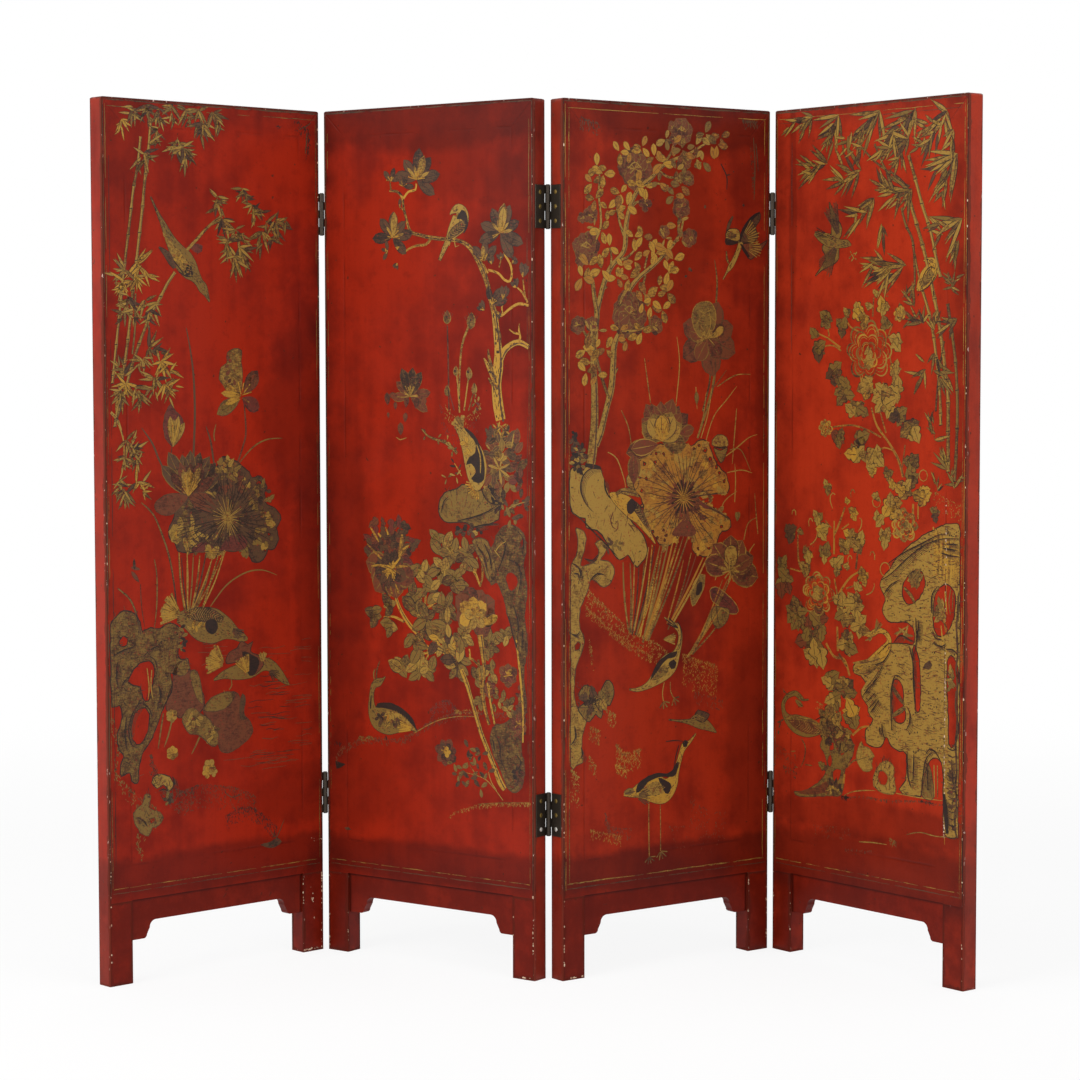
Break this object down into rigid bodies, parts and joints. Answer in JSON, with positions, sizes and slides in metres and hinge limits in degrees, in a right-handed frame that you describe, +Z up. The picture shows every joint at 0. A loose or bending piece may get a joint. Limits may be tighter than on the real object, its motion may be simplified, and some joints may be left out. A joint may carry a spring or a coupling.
{
  "type": "folding screen",
  "caption": "Folding room screen of red lacquered wood panels on legs, gilt painted fronts, hinged in a zigzag so that it stands alone or folds flat.",
  "frame": {"origin": "on the floor, at the centre of the box round the screen as it stands in the picture", "axes": "+Z up; +Y from the painted fronts towards the back; +X along the row of panels, from panel 1 on the left to panel 4 on the right as seen from the front"},
  "size_m": [1.5246, 0.395, 1.54],
  "materials": {
    "red_lacquer": "old glossy red lacquer over wood, worn brown along the edges",
    "dark_red_lacquer": "old satin red-brown lacquer over wood, darkened with age",
    "back_lacquer": "thin dark brown-black lacquer over wood, satin",
    "hinge_iron": "aged dark iron with a dull bronze sheen",
    "screw_brass": "tarnished slotted brass screw heads",
    "gilt": "worn gold and olive gilt painting on lacquer",
    "ink": "matt dark brown-black and maroon painting on lacquer"
  },
  "bodies": {
    "panel_1": {"stile_left_1": "red_lacquer", "stile_right_1": "red_lacquer", "top_rail_1": "red_lacquer", "bottom_rail_1": "red_lacquer", "planks_1": "red_lacquer", "battens_1": "back_lacquer", "apron_1": "dark_red_lacquer", "hinge_screws_1": "screw_brass", "hinge_1_2_upper_left_plate": "hinge_iron", "hinge_1_2_upper_pin": "hinge_iron", "hinge_1_2_lower_left_plate": "hinge_iron", "hinge_1_2_lower_pin": "hinge_iron"},
    "panel_2": {"stile_left_2": "red_lacquer", "stile_right_2": "red_lacquer", "top_rail_2": "red_lacquer", "bottom_rail_2": "red_lacquer", "planks_2": "red_lacquer", "battens_2": "back_lacquer", "apron_2": "dark_red_lacquer", "hinge_screws_2": "screw_brass", "hinge_1_2_upper_right_plate": "hinge_iron", "hinge_1_2_lower_right_plate": "hinge_iron", "hinge_2_3_upper_left_plate": "hinge_iron", "hinge_2_3_upper_pin": "hinge_iron", "hinge_2_3_lower_left_plate": "hinge_iron", "hinge_2_3_lower_pin": "hinge_iron"},
    "panel_3": {"stile_left_3": "red_lacquer", "stile_right_3": "red_lacquer", "top_rail_3": "red_lacquer", "bottom_rail_3": "red_lacquer", "planks_3": "red_lacquer", "battens_3": "back_lacquer", "apron_3": "dark_red_lacquer", "hinge_screws_3": "screw_brass", "hinge_2_3_upper_right_plate": "hinge_iron", "hinge_2_3_lower_right_plate": "hinge_iron", "hinge_3_4_upper_left_plate": "hinge_iron", "hinge_3_4_upper_pin": "hinge_iron", "hinge_3_4_lower_left_plate": "hinge_iron", "hinge_3_4_lower_pin": "hinge_iron"},
    "panel_4": {"stile_left_4": "red_lacquer", "stile_right_4": "red_lacquer", "top_rail_4": "red_lacquer", "bottom_rail_4": "red_lacquer", "planks_4": "red_lacquer", "battens_4": "back_lacquer", "apron_4": "dark_red_lacquer", "hinge_screws_4": "screw_brass", "hinge_3_4_upper_right_plate": "hinge_iron", "hinge_3_4_lower_right_plate": "hinge_iron"}
  },
  "joints": [
    {"name": "fold_1_2", "type": "hinge", "parent": "panel_2", "child": "panel_1", "pos_m": [-0.38873, 0.1722, 0.77], "axis": [0, 0, 1], "range_deg": [-79.3, 100.7]},
    {"name": "fold_2_3", "type": "hinge", "parent": "panel_2", "child": "panel_3", "pos_m": [0.02298, -0.08656, 0.77], "axis": [0, 0, 1], "range_deg": [-72.8, 107.2]},
    {"name": "fold_3_4", "type": "hinge", "parent": "panel_3", "child": "panel_4", "pos_m": [0.43379, 0.17363, 0.77], "axis": [0, 0, 1], "range_deg": [-92.6, 87.4]}
  ]
}
